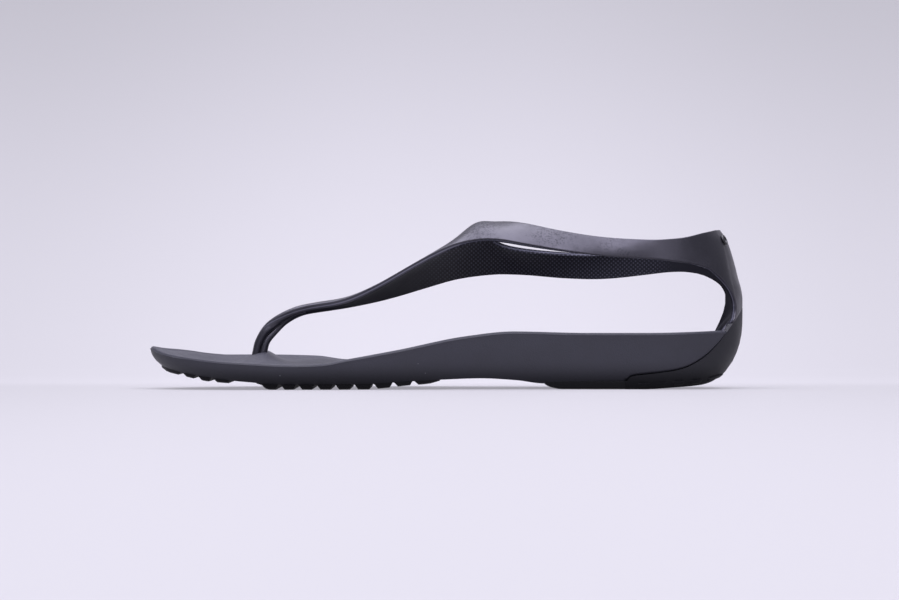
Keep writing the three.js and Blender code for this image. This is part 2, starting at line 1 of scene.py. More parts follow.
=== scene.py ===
"""A moulded T-strap flip flop, right foot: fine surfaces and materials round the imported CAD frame.

Lengths are millimetres in the shape code and become metres where a mesh is made.
The toe points along -X, the heel along +X, and the medial (inner) side along -Y.
"""

import math

import bmesh
import bpy
import numpy as np
from mathutils import Matrix, Vector, kdtree


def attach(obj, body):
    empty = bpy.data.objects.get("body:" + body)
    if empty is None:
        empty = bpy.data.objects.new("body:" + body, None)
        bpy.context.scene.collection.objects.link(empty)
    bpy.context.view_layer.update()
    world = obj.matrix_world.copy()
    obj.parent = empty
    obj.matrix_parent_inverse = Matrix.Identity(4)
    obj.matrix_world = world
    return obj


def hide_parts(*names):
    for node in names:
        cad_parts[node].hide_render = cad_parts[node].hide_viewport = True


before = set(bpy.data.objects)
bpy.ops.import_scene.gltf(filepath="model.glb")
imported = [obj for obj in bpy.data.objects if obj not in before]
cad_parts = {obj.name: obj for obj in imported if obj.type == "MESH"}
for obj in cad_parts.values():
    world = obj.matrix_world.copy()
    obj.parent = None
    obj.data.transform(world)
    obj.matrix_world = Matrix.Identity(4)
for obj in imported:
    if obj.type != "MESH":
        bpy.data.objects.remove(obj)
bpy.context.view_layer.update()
MM = 0.001

# ---------------------------------------------------------------- driving dimensions
SIDE_TUCK = 4.5       # how far the side wall tucks in at its bottom edge
REAR_TUCK = 11.5      # the same at the rounded back of the heel
WALL_SOFTNESS = 2.7   # how late the wall tucks under
RIM_FLARE = 1.2       # how far the heel's rim leans out
HEEL_WALL_HEIGHT = 26
CUP_THICKNESS = 2.3
CUP_FRONT_X = 76
CUP_BAR_START = 82.8  # middle of the first of the small tread bars along the cup's lower edge
CUP_BAR_PITCH = 7.2
CUP_BAR_HEIGHT = 0.7
CUP_REAR_FLOOR = 4.3  # height of the cup's lower edge at the back
SEAM = 0.35           # width of the open seam between two pieces
STRAP_HALF = 1.1      # half the strap's thickness
TAB_ROOM = 2.75       # room for the collar's tab between the heel cup and the footbed
POST_HALF = 2.2       # half the toe post's thickness
POST_FOOT = (-82, -12)
POST_REAR_X = -60     # where the toe post has become the band
RIB_HALF = 1.6        # half the width of each of the toe post's two ribs
COLLAR_CENTRE_X = 88
COLLAR_MEDIAL_Y = 31.5
COLLAR_LATERAL_Y = 33
DOT_PITCH = (1.9, 1.7)  # the strap's inner dots: pitch along a row, and over two rows
SPINE_TOE = (-92, -7)  # the middle line that the footbed's rings close on
SPINE_HEEL = (86, 0)


# ---------------------------------------------------------------- small helpers
def smoothstep(value, low, high):
    t = np.clip((np.asarray(value, float) - low) / (high - low), 0, 1)
    return t * t * (3 - 2 * t)


def blend(a, b, t):
    return a + (b - a) * t


def along(points):
    """A smooth function through a few (x, value) points that never overshoots them."""
    px, py = np.array(points, float).T
    rise = np.diff(py) / np.diff(px)
    slope = np.zeros(len(px))
    slope[0], slope[-1] = rise[0], rise[-1]
    turning = rise[:-1] * rise[1:] > 0
    both = np.where(turning, rise[:-1] + rise[1:], 1)
    slope[1:-1] = np.where(turning, 2 * rise[:-1] * rise[1:] / both, 0)

    def value(x):
        x = np.clip(np.asarray(x, float), px[0], px[-1])
        i = np.clip(np.searchsorted(px, x, side="right") - 1, 0, len(px) - 2)
        width = px[i + 1] - px[i]
        t = (x - px[i]) / width
        ease = 3 * t**2 - 2 * t**3
        bend_in = (t**3 - 2 * t**2 + t) * width * slope[i]
        bend_out = (t**3 - t**2) * width * slope[i + 1]
        return py[i] + (py[i + 1] - py[i]) * ease + bend_in + bend_out

    return value


def cubic(start, slope, end, end_slope, t):
    """A cubic curve from start to end that leaves and arrives with the given slopes."""
    return ((2 * t**3 - 3 * t**2 + 1) * start + (t**3 - 2 * t**2 + t) * slope
            + (3 * t**2 - 2 * t**3) * end + (t**3 - t**2) * end_slope)


def unit(vectors):
    return vectors / np.maximum(np.linalg.norm(vectors, axis=-1, keepdims=True), 1e-9)


def soften_loop(points, passes):
    for _ in range(passes):
        points = 0.25 * np.roll(points, 1, 0) + 0.5 * points + 0.25 * np.roll(points, -1, 0)
    return points


def add_to_scene(name, data):
    made = bpy.data.objects.new(name, data)
    bpy.context.scene.collection.objects.link(made)
    return made


def make_object(name, points, faces):
    """A mesh object from points in millimetres; faces with repeated corners lose them."""
    clear_of_painted_shade = []
    for face in faces:
        corners = [c for k, c in enumerate(face) if c != face[k - 1]]
        if len(corners) >= 3 and len(set(corners)) == len(corners):
            clear_of_painted_shade.append(corners)
    mesh = bpy.data.meshes.new(name)
    mesh.from_pydata((np.asarray(points, float) * MM).tolist(), [], clear_of_painted_shade)
    mesh.validate()
    edit = bmesh.new()
    edit.from_mesh(mesh)
    bmesh.ops.delete(edit, geom=[v for v in edit.verts if not v.link_faces], context="VERTS")
    bmesh.ops.recalc_face_normals(edit, faces=edit.faces)
    edit.to_mesh(mesh)
    edit.free()
    mesh.shade_smooth()
    return add_to_scene(name, mesh)


def round_edges(piece, width, segments=2, angle=35):
    """Bevels the hard edges by width millimetres and keeps flat faces flat in the shading."""
    bevel = piece.modifiers.new("round", "BEVEL")
    bevel.width = width * MM
    bevel.segments = segments
    bevel.limit_method = "ANGLE"
    bevel.angle_limit = math.radians(angle)
    bevel.harden_normals = True
    depsgraph = bpy.context.evaluated_depsgraph_get()
    piece.data = bpy.data.meshes.new_from_object(piece.evaluated_get(depsgraph))
    piece.modifiers.clear()


# ---------------------------------------------------------------- profiles along the sole
medial_rim = along([(-126, 18), (-119, 15.4), (-108, 13.5), (-95, 12.1), (-80, 11.2), (-65, 10.6),
                    (-53, 10.9), (-43, 12.6), (-20, 16.8), (8, 22.4), (28, 24.4), (58, 23.8),
                    (84, 23.8), (118, 24.7)])
lateral_rim = along([(-126, 18), (-119, 17.4), (-112, 16.2), (-106, 15), (-100, 14.3), (-96, 14),
                     (-76, 13.9), (-57, 13.4), (-43, 11.8), (-20, 12.6), (0, 14.6), (30, 18.8),
                     (60, 21.4), (90, 22.9), (118, 24.4)])
bed_centre = along([(-126, 16.8), (-116, 13.5), (-98, 11), (-60, 10.6), (-35, 10.8), (-10, 13.5),
                    (25, 17.5), (60, 17.8), (92, 17.2), (112, 19.5), (120, 22)])
underside = along([(-126, 17), (-125.1, 14.1), (-123.3, 11.9), (-121.5, 10.3), (-113.3, 7.6),
                   (-104.7, 5.9), (-97.8, 4.8), (-91, 3.9), (-81, 3), (-72, 2.2), (-35, 2.3),
                   (-20, 3.2), (-2, 4.1), (14, 4.6), (29, 3.8), (41, 2.4), (84, 2.4), (98, 3.1),
                   (107, 3.9), (114.5, 4.6), (126, 9)])
cup_floor = along([(41, 2), (48, 0), (82, 0), (98, 0.9), (107, 1.7), (112.8, 3.3), (114.5, 4.3),
                   (126, 9)])
cup_edge = along([(CUP_FRONT_X, 3.6), (76.6, 4.9), (78.2, 5.6), (84.3, 6.3), (95.6, 7.7), (101.2, 9),
                  (106.2, 11.3), (110.7, 14.5), (114.9, 19.1), (117.7, 23.3), (120.7, 27.4),
                  (123.2, 30.6), (125.9, 34.3)])
wall_height = along([(-60, 9), (20, HEEL_WALL_HEIGHT)])

# ---------------------------------------------------------------- plan outline
OUTLINE_POINTS = [(-126, -11), (-117.5, -31), (-96, -42), (-62, -46), (-20, -38.5), (25, -29.5),
                  (68, -32), (101, -31), (120, -19), (126, 0), (120, 19.5), (101, 32), (68, 35.5),
                  (20, 39), (-25, 45), (-62, 45), (-94, 35), (-116, 14)]


def closed_curve(points, per_span):
    """Centripetal Catmull-Rom curve through a closed run of points."""
    p = np.array(points, float)
    count = len(p)
    out = []
    for i in range(count):
        p0, p1, p2, p3 = (p[(i + k) % count] for k in (-1, 0, 1, 2))
        d1, d2, d3 = (np.linalg.norm(b - a) ** 0.5 for a, b in ((p0, p1), (p1, p2), (p2, p3)))
        m1 = (p1 - p0) / d1 - (p2 - p0) / (d1 + d2) + (p2 - p1) / d2
        m2 = (p2 - p1) / d2 - (p3 - p1) / (d2 + d3) + (p3 - p2) / d3
        t = np.linspace(0, 1, per_span, endpoint=False)[:, None]
        out.append(cubic(p1, m1 * d2, p2, m2 * d2, t))
    return np.concatenate(out)


def spine_y(x):
    share = np.clip((x - SPINE_TOE[0]) / (SPINE_HEEL[0] - SPINE_TOE[0]), 0, 1)
    return blend(SPINE_TOE[1], SPINE_HEEL[1], share)


def resample(path, count):
    """count evenly spaced points along a path, without its two ends."""
    steps = np.linalg.norm(np.diff(path, axis=0), axis=1)
    length = np.concatenate([[0], np.cumsum(steps)])
    wanted = np.linspace(0, length[-1], count + 2)[1:-1]
    return np.stack([np.interp(wanted, length, path[:, k]) for k in (0, 1)], 1)


class Outline:
    """The plan outline as a loop: medial stations, toe cap, lateral stations, heel cap."""

    STATIONS = 190
    CAP = 120

    def __init__(self):
        dense = soften_loop(closed_curve(OUTLINE_POINTS, 120), 900)
        scale = 252 / np.ptp(dense[:, 0])
        dense = dense * scale
        dense[:, 0] -= (dense[:, 0].max() + dense[:, 0].min()) / 2
        xs = np.linspace(SPINE_TOE[0], SPINE_HEEL[0], self.STATIONS)
        middle = spine_y(dense[:, 0])
        sides = []
        for side in (dense[dense[:, 1] < middle], dense[dense[:, 1] >= middle]):
            side = side[np.argsort(side[:, 0])]
            sides.append(np.stack([xs, np.interp(xs, side[:, 0], side[:, 1])], 1))
        medial, lateral = sides
        toe = self._cap(dense, dense[:, 0] < xs[0], SPINE_TOE, medial[0], lateral[0])
        heel = self._cap(dense, dense[:, 0] > xs[-1], SPINE_HEEL, lateral[-1], medial[-1])
        self.points = np.concatenate([medial[::-1], toe, lateral, heel])
        ahead = np.roll(self.points, -1, 0) - np.roll(self.points, 1, 0)
        self.out = unit(np.stack([-ahead[:, 1], ahead[:, 0]], 1))
        self.x, self.y = self.points.T
        self.count = len(self.points)
        k = np.arange(self.STATIONS)
        toe_end = np.full(self.CAP, self.STATIONS - 1)
        heel_end = np.full(self.CAP, 0)
        self.spine_index = np.concatenate([k, toe_end, k[::-1], heel_end])
        self.spine = np.stack([xs[::-1], spine_y(xs[::-1])], 1)

    def _cap(self, dense, chosen, centre, start, end):
        cap = dense[chosen]
        turn = np.arctan2(cap[:, 1] - centre[1], cap[:, 0] - centre[0])
        if centre == SPINE_TOE:
            turn = np.mod(turn, 2 * np.pi)
        cap = cap[np.argsort(-turn)]
        if np.linalg.norm(cap[0] - start) > np.linalg.norm(cap[-1] - start):
            cap = cap[::-1]
        return resample(np.concatenate([[start], cap, [end]]), self.CAP)

    def inset(self, distance):
        return self.points - self.out * np.asarray(distance, float).reshape(-1, 1)


outline = Outline()


def wall_inset(x, out_x, z, bottom_z):
    """How far the side wall lies inside the plan outline at height z; the heel's rim leans out."""
    rear = np.where(x > 80, np.maximum(0, out_x) ** 2, 0)
    share = np.clip(1 - (z - bottom_z) / wall_height(x), 0, 1)
    flare = RIM_FLARE * smoothstep(x, 10, 90) * smoothstep(25 - z, 0, 10)
    return blend(SIDE_TUCK * share**WALL_SOFTNESS + flare, rear_tuck(share), rear)


def rear_tuck(share):
    """The heel's rounded back: share is 1 at the bottom edge and 0 at the top of the rounding."""
    return REAR_TUCK * (0.8 * share**2.4 + 0.2 * share**16)


def edge_x(x, out_x):
    """Where along the shoe the wall's bottom edge lies, below an outline point."""
    return x - out_x * wall_inset(x, out_x, 0, 0)


def wall_ring(z, bottom_z, further=0):
    """The side wall's ring at height z."""
    inset = wall_inset(outline.x, outline.out[:, 0], z, bottom_z) + further
    return np.column_stack([outline.inset(inset), np.broadcast_to(z, outline.count)])


def ring_faces(rings, count):
    """Quads between successive closed rings of count points each."""
    i = np.arange(count)
    j = (i + 1) % count
    faces = []
    for r in range(rings - 1):
        a = r * count
        b = a + count
        faces.append(np.stack([a + i, a + j, b + j, b + i], 1))
    return np.concatenate(faces).tolist()


# ---------------------------------------------------------------- footbed
CREST_X = -77     # the toe crest, a ridge across the bed under the toes
CREST_RISE = 5.1
BED_SWELLS = [  # rise, x and y of the middle, and reach along and across the bed
    (-0.8, -97, -24, 9, 11),  # hollow of the big toe
    (-0.6, -95, 14, 9, 15),   # hollow of the smaller toes
    (2.2, -56, 16, 13, 15),   # hump under the ball
    (1.6, 18, -16, 26, 10),   # swelling under the arch
]


def bed_height(x, y):
    """The footbed's upper surface: toe hollows, toe crest, ball hollow and heel seat."""
    from_crest = x - CREST_X
    front = np.exp(-((from_crest / 10) ** 2))
    back = np.exp(-((np.abs(from_crest) / 5.5) ** 1.5))
    crest = CREST_RISE * np.where(from_crest < 0, front, back) * np.exp(-(((y - 2) / 32) ** 4))
    height = bed_centre(x) + crest
    for rise, middle_x, middle_y, length, width in BED_SWELLS:
        height = height + rise * np.exp(-(((x - middle_x) / length) ** 2
                                          + ((y - middle_y) / width) ** 2))
    return height


def rim_height(x, y):
    share = np.clip((y + 24) / 48, 0, 1)
    return blend(medial_rim(x), lateral_rim(x), share)


def footbed():
    x, y, out_x = outline.x, outline.y, outline.out[:, 0]
    bottom_z = underside(edge_x(x, out_x))
    rim_z = rim_height(x, y)
    has_cup = smoothstep(x, CUP_FRONT_X - 1.2, CUP_FRONT_X)
    seam_z = np.clip(cup_edge(x) + SEAM, bottom_z + 0.5, rim_z - 1.6)
    behind = smoothstep(x, 118, 121)
    recess = has_cup * (CUP_THICKNESS + SEAM) + behind * TAB_ROOM
    rear_inset = behind * (CUP_THICKNESS + SEAM + TAB_ROOM)
    rings = []
    spine = outline.spine[outline.spine_index]

    edge = wall_ring(bottom_z, bottom_z, recess)
    for share in (0.9, 0.7, 0.45, 0.2, 0.06):
        flat = edge[:, :2] * (1 - share) + spine * share
        rings.append(np.column_stack([flat, underside(flat[:, 0])]))
    for level in (0, 0.03, 0.1, 0.22, 0.4, 0.6, 0.8, 0.93, 1):
        z = blend(bottom_z, seam_z - 0.02, level)
        rings.append(wall_ring(z, bottom_z, recess))
    for level in (0, 0.06, 0.2, 0.4, 0.6, 0.8, 1):
        z = blend(seam_z, rim_z - 1.4, level)
        rings.append(wall_ring(z, bottom_z, rear_inset))
    size = blend(0.95, 1.7, smoothstep(-x, 108, 123))
    ridge = ((-0.02, -1.25), (-0.12, -1.12), (-0.12, -0.95))
    for inward, drop in ridge:
        rings.append(wall_ring(rim_z + drop, bottom_z, rear_inset + size * inward))
    lip = ((0.03, -0.82), (0.14, -0.42), (0.38, -0.14), (0.75, 0), (1.15, -0.06), (1.6, -0.3),
           (2.2, -0.72))
    for inward, drop in lip:
        rings.append(wall_ring(rim_z + size * drop, bottom_z, rear_inset + size * inward))
    brim = rings[-1]
    reach = np.linalg.norm(spine - brim[:, :2], axis=1)
    for share in np.linspace(0, 1, 27)[1:-1] ** 1.25:
        flat = brim[:, :2] * (1 - share) + spine * share
        rise = smoothstep(share * reach, 0, np.minimum(15, reach))
        z = blend(brim[:, 2], bed_height(flat[:, 0], flat[:, 1]), rise)
        rings.append(np.column_stack([flat, z]))

    count = outline.count
    points = np.concatenate(rings)
    faces = ring_faces(len(rings), count)
    top_spine = np.column_stack([outline.spine, bed_height(*outline.spine.T)])
    low_spine = np.column_stack([outline.spine, underside(outline.spine[:, 0])])
    low_start = len(points)
    top_start = low_start + len(low_spine)
    last = (len(rings) - 1) * count
    for i in range(count):
        j = (i + 1) % count
        a, b = outline.spine_index[i], outline.spine_index[j]
        faces.append([low_start + a, low_start + b, j, i])
        faces.append([last + i, last + j, top_start + b, top_start + a])
    points = np.concatenate([points, low_spine, top_spine])
    return make_object("footbed_body", points, faces)


# ---------------------------------------------------------------- heel cup
def shell(name, outer, inner, faces):
    """Closes an outer and an inner sheet of the same faces into one body along their free edges."""
    count = len(outer)
    directed = {}
    for face in faces:
        for k, a in enumerate(face):
            directed[(a, face[(k + 1) % len(face)])] = True
    body = [list(face) for face in faces]
    body += [[count + c for c in reversed(face)] for face in faces]
    for a, b in directed:
        if a != b and (b, a) not in directed:
            body.append([b, a, count + a, count + b])
    return make_object(name, np.concatenate([outer, inner]), body)


def heel_cup():
    start = outline.STATIONS + outline.CAP
    order = np.r_[start:outline.count, 0:outline.STATIONS]
    xs = outline.x[order]
    order = order[xs > CUP_FRONT_X - 1.7]
    x, y, out = outline.x[order], outline.y[order], outline.out[order]
    points = outline.points[order]
    floor_z = cup_floor(edge_x(x, out[:, 0]))
    top_z = np.maximum(cup_edge(x), floor_z + 3.4)
    spine = outline.spine[outline.spine_index[order]]
    low_rows = (2.9, 2.6, 2.3, 1.8, 1.4, 1.1, 0.8, 0.4, 0.12, 0)
    edge_at = edge_x(x, out[:, 0])
    bar = smoothstep(np.cos(2 * math.pi * (edge_at - CUP_BAR_START) / CUP_BAR_PITCH), -0.45, -0.2)
    bar = bar * smoothstep(edge_at, CUP_BAR_START - 3, CUP_BAR_START - 2)

    def sheet(inset):
        rows = []
        for level in (1, 0.98, 0.93, 0.85, 0.72, 0.58, 0.44, 0.3, 0.16):
            rows.append(blend(floor_z + low_rows[0], top_z, level))
        rows += [floor_z + height for height in low_rows]
        for n, z in enumerate(rows):
            height = z - floor_z
            depth = wall_inset(x, out[:, 0], z, floor_z) + inset
            if inset == 0:
                lift = smoothstep(height, 0.7, 1.1) * smoothstep(-height, -2.6, -2.3)
                depth = depth - CUP_BAR_HEIGHT * bar * lift
            raised = np.maximum(z, floor_z + inset)
            rows[n] = np.column_stack([points - out * depth[:, None], raised])
        edge = rows[-1][:, :2]
        for share in (0.04, 0.12, 0.3, 0.6, 0.85):
            flat = edge * (1 - share) + spine * share
            rows.append(np.column_stack([flat, cup_floor(flat[:, 0]) + inset]))
        middle = outline.spine
        ends = np.column_stack([middle, cup_floor(middle[:, 0]) + inset])
        return np.concatenate(rows + [ends]), len(rows)

    outer, rows = sheet(0)
    inner, _ = sheet(CUP_THICKNESS)
    width = len(order)
    faces = []
    for r in range(rows - 1):
        for k in range(width - 1):
            a = r * width + k
            faces.append([a, a + 1, a + 1 + width, a + width])
    last = (rows - 1) * width
    spine_at = rows * width + outline.spine_index[order]
    for k in range(width - 1):
        corners = [last + k, last + k + 1, spine_at[k + 1], spine_at[k]]
        faces.append([c for n, c in enumerate(corners) if c != corners[n - 1]])
    faces = [[int(c) for c in face] for face in faces]
    piece = shell("heel_cup_body", outer, inner, faces)
    round_edges(piece, 0.45)
    return piece


# ---------------------------------------------------------------- upper
BAND = [  # toe post, then the band up the instep: medial edge, middle, lateral edge
    ((-82.2, -12, 8), (-81.2, -12, 8), (-80.2, -12, 8)),
    ((-81.3, -12, 12), (-80.3, -12, 12), (-79.3, -12, 12)),
    ((-80.4, -12, 15.7), (-79.4, -12, 15.7), (-78.4, -12, 15.7)),
    ((-79.3, -12.2, 20), (-78.3, -12, 19.9), (-77.3, -11.8, 19.8)),
    ((-76.4, -12.6, 24.9), (-75.2, -12, 24.6), (-73.8, -11.2, 24.3)),
    ((-72.3, -13.4, 28.9), (-70.7, -12, 29.1), (-69.2, -10.2, 28.9)),
    ((-64.6, -14.2, 32.9), (-63.3, -11.6, 33.4), (-62.4, -8, 32.6)),
    ((-56.9, -15.2, 34.8), (-55.4, -10.8, 35.4), (-54, -5.2, 34.1)),
    ((-43, -17.2, 37.1), (-42, -9.2, 37.6), (-41.2, 0.6, 35.9)),
    ((-28.6, -19.4, 43.6), (-27, -7.4, 43.4), (-25.2, 8.4, 39.2)),
    ((-12.2, -22, 53), (-9.8, -6.4, 52), (-8.6, 17, 44.2)),
    ((1.9, -24.6, 60.3), (3.6, -5.6, 60.6), (5.8, 24, 48.3)),
    ((13, -26.8, 63.4), (13.2, -5.4, 68.8), (20.5, 29.6, 50)),
]
MEDIAL_STRAP = [  # lower edge, upper edge, and how far the strap bulges outwards between them
    ((22.5, -28.8, 62.9), (21, -14.6, 69.4), 1.8),
    ((33, -31, 61.3), (31.5, -21.8, 68.8), 1.0),
    ((49, -33.2, 58.9), (48, -28.3, 65.2), 0.8),
    ((68, -34, 56.8), (67, -31.6, 62.3), 0.8),
]
LATERAL_STRAP = [
    ((68, 36, 47.7), (67, 33.2, 56.3), 0.8),
    ((51, 36, 48.1), (49, 29.6, 56.9), 1.0),
    ((37, 34.2, 49.2), (31, 20, 58.6), 1.8),
    ((28, 32.2, 49.6), (20.5, 9.6, 61.5), 2.8),
]
collar_rear_x = along([(34, 124.9), (39.4, 124.4), (47.6, 123), (56.4, 120.7), (62.9, 118.4),
                       (67, 115.6)])
collar_top_z = along([(-90, 61.7), (-68, 62.6), (-54, 64), (-40, 65), (-22, 65.8), (0, 66), (22, 65.8),
                      (40, 64.8), (54, 63.4), (68, 61.4), (90, 59.4)])
collar_low_z = along([(-90, 55.8), (-76, 54.8), (-65, 54.2), (-54, 52.6), (54, 50.2), (65, 51),
                      (76, 50.8), (90, 49.8)])
tab_medial_x = along([(9, 115), (24, 118), (27.8, 120), (30.1, 120.9), (34.8, 121.5), (37.6, 121),
                      (40.6, 119.8), (43.1, 118.2), (47, 114.6), (50.8, 110), (53, 107)])
tab_lateral_x = along([(9, 113.5), (20, 114.6), (25.3, 116.6), (31.1, 119.2), (36.6, 120.4),
                       (39.4, 120.4), (43.5, 118.8), (46.3, 115.5), (49.1, 109.4)])
NECK_ANGLE = 54        # where the neck panel's sides meet the collar's lower edge
TAB_SEAM_START = 33.0  # a first guess at the height where the tab meets the cup's edge
TAB_FOOT_Z = 10        # where the tab ends, between the footbed and the heel cup
FINE_BELOW = 36        # the tab's rows lie closer together below this height
FORK_SIDE = (22, 24, 52)  # on the lateral side, where the band turns into the strap
# Shares across half the band or across a strap, close together near both edges
NEAR_EDGE = np.array([0, 0.003, 0.007, 0.012, 0.02, 0.034, 0.06, 0.1, 0.15, 0.2, 0.26, 0.33, 0.41])
SHARES = np.concatenate([NEAR_EDGE, [0.5], 1 - NEAR_EDGE[::-1]])
LAST = len(SHARES) - 1


def outline_reach(bearing):
    """Distance from the collar's centre to the plan outline, in the direction of bearing (radians)."""
    dx, dy = outline.x - COLLAR_CENTRE_X, outline.y
    bearings = np.arctan2(dy, dx)
    order = np.argsort(bearings)
    return np.interp(bearing, bearings[order], np.hypot(dx, dy)[order])


def collar_point(degrees, z):
    """The middle of the collar's thickness: an oval high up, and the sole's outline lower down."""
    degrees, z = np.broadcast_arrays(np.asarray(degrees, float), np.asarray(z, float))
    angle = np.radians(degrees)
    lean = blend(1, 0.91, np.clip((z - 50) / 16, 0, 1))
    half_width = np.where(degrees < 0, COLLAR_MEDIAL_Y, COLLAR_LATERAL_Y) * lean
    reach = collar_rear_x(z) - COLLAR_CENTRE_X
    x, y = reach * np.cos(angle), half_width * np.sin(angle)
    bearing = np.arctan2(y, x)
    tuck = rear_tuck(np.clip(1 - (z - CUP_REAR_FLOOR) / HEEL_WALL_HEIGHT, 0, 1))
    flush = outline_reach(bearing) - STRAP_HALF - tuck
    radius = blend(np.hypot(x, y), flush, smoothstep(-z, -48, -37))
    return np.stack([COLLAR_CENTRE_X + radius * np.cos(bearing), radius * np.sin(bearing), z], -1)


def collar_angle(x, z, side):
    """The angle at which the collar's middle surface reaches x, at height z, on the given side."""
    degrees = np.linspace(0, 75, 151)
    xs = collar_point(side * degrees, z)[:, 0]
    return float(np.interp(-x, -xs, degrees))


def collar_out(degrees, z):
    """The collar's outward direction."""
    sideways = collar_point(degrees + 0.5, z) - collar_point(degrees - 0.5, z)
    upwards = collar_point(degrees, z + 0.25) - collar_point(degrees, z - 0.25)
    return unit(np.cross(sideways, upwards))


def band_section(edges, half):
    """Points across the band, from its medial to its lateral rim."""
    medial, centre, lateral = (np.array(p, float) for p in edges)
    control = 2 * centre - 0.5 * medial - 0.5 * lateral
    t = np.concatenate([SHARES / 2, 0.5 + SHARES[1:] / 2])[:, None]
    line = (1 - t) ** 2 * medial + 2 * t * (1 - t) * control + t**2 * lateral
    for rim, away in ((medial, t), (lateral, 1 - t)):
        fade = (1 - np.clip(away * 2, 0, 1)) ** 1.2
        line = line + unit(rim - control) * half * fade
    return line


def strap_section(low, top, bulge):
    """Points across a strap, from its lower to its upper rim."""
    low, top = np.array(low, float), np.array(top, float)
    stretch = unit(top - low) * STRAP_HALF
    low, top = low - stretch, top + stretch
    t = SHARES[:, None]
    outward = np.sign(low[1]) * unit(np.array([0, stretch[2], -stretch[1]]))
    return low + (top - low) * t + bulge * outward * 4 * t * (1 - t)


def collar_section(degrees):
    low = collar_low_z(degrees) - STRAP_HALF
    top = collar_top_z(degrees) + STRAP_HALF
    return collar_point(np.full(len(SHARES), float(degrees)), blend(low, top, SHARES))


def loft(sections, steps, before=None, after=None):
    """Rows along Catmull-Rom curves through the sections, steps rows to a span."""
    s = [np.asarray(section) for section in sections]
    first = 2 * s[0] - s[1] if before is None else before
    last = 2 * s[-1] - s[-2] if after is None else after
    s = [first, *s, last]
    rows = []
    for k in range(1, len(s) - 2):
        m1, m2 = (s[k + 1] - s[k - 1]) / 2, (s[k + 2] - s[k]) / 2
        for t in np.linspace(0, 1, steps, endpoint=False):
            rows.append(cubic(s[k], m1, s[k + 1], m2, t))
    rows.append(s[-2])
    return np.array(rows)


class Sheet:
    """A welded sheet of quads: every point has an offset from the middle to the outer skin."""

    def __init__(self):
        self.points, self.halves, self.offsets = [], [], []
        self.quads, self.runs, self.index = [], [], {}

    def add_grid(self, rows, halves, offsets=None):
        """Rows run along the strap; a grid point with no offset gets one from the sheet's normal."""
        ids = np.empty(rows.shape[:2], int)
        for i, j in np.ndindex(*rows.shape[:2]):
            key = tuple(np.round(rows[i, j], 4))
            if key not in self.index:
                self.index[key] = len(self.points)
                self.points.append(rows[i, j])
                self.halves.append(halves[i, j])
                self.offsets.append(np.full(3, np.nan) if offsets is None else offsets[i, j])
            ids[i, j] = self.index[key]
        quads = np.stack([ids[:-1, :-1], ids[1:, :-1], ids[1:, 1:], ids[:-1, 1:]], -1)
        self.quads += quads.reshape(-1, 4).tolist()
        if offsets is None:
            self.runs += np.stack([ids[:-1], ids[1:]], -1).reshape(-1, 2).tolist()

    def free_edges(self):
        edges = {(a, q[(k + 1) % 4]) for q in self.quads for k, a in enumerate(q)}
        return [(a, b) for a, b in edges if (b, a) not in edges]


def relax(points, runs, weights, passes):
    """Evens out the sheet along its length, as strongly as each point's weight says."""
    a, b = np.array(runs).T
    count = np.zeros(len(points))
    np.add.at(count, a, 1)
    np.add.at(count, b, 1)
    inner = (count >= 2)
    share = (0.5 * weights * inner)[:, None]
    for _ in range(passes):
        total = np.zeros_like(points)
        np.add.at(total, a, points[b])
        np.add.at(total, b, points[a])
        mean = total / np.maximum(count, 1)[:, None]
        points = points + (mean - points) * share
    return points


def sheet_normals(points, quads):
    q = np.array(quads)
    diagonal_1 = points[q[:, 2]] - points[q[:, 0]]
    diagonal_2 = points[q[:, 3]] - points[q[:, 1]]
    normal = np.cross(diagonal_1, diagonal_2)
    total = np.zeros_like(points)
    for k in range(4):
        np.add.at(total, q[:, k], normal)
    return unit(total)


def upper_sheet():
    steps = 8
    post_share = [np.clip((9 - k) / 5, 0, 1) for k in range(len(BAND))]
    halves = [blend(STRAP_HALF, POST_HALF, share) for share in post_share]
    band = [band_section(edges, half) for edges, half in zip(BAND, halves)]
    medial_strap = [strap_section(*section) for section in MEDIAL_STRAP]
    lateral_strap = [strap_section(*section) for section in LATERAL_STRAP]
    towards = band[-1].copy()
    towards[:LAST] = medial_strap[0][:LAST]
    towards[LAST + 1:] = lateral_strap[-1][:LAST][::-1]
    rows = loft(band, steps, None, towards)
    row_half = np.interp(np.arange(len(rows)) / steps, np.arange(len(BAND)), halves)
    sheet = Sheet()
    sheet.add_grid(rows, np.repeat(row_half[:, None], rows.shape[1], 1))

    even = np.sin(np.linspace(-1, 1, 47) * math.pi / 2) * NECK_ANGLE
    creases = np.array([-27.6, -26.6, 26.6, 27.6])
    apart = np.abs(even[:, None] - creases).min(1) > 0.7
    neck_angles = np.sort(np.concatenate([even[apart], creases]))
    side_angles = np.linspace(-90, -NECK_ANGLE, 13)[:-1]
    angles = np.concatenate([side_angles, neck_angles, -side_angles[::-1]])
    collar = [collar_section(a) for a in angles]
    medial_rows = loft([band[-1][:LAST + 1], *medial_strap, collar[0]], 10,
                       band[-2][:LAST + 1], collar[4])
    lateral_rows = loft([collar[-1], *lateral_strap, band[-1][LAST:][::-1]], 10,
                        collar[-5], band[-2][LAST:][::-1])
    loop = np.concatenate([medial_rows[:-1], collar, lateral_rows[1:]])
    sheet.add_grid(loop, np.full(loop.shape[:2], STRAP_HALF))
    add_tab(sheet, neck_angles)
    return sheet


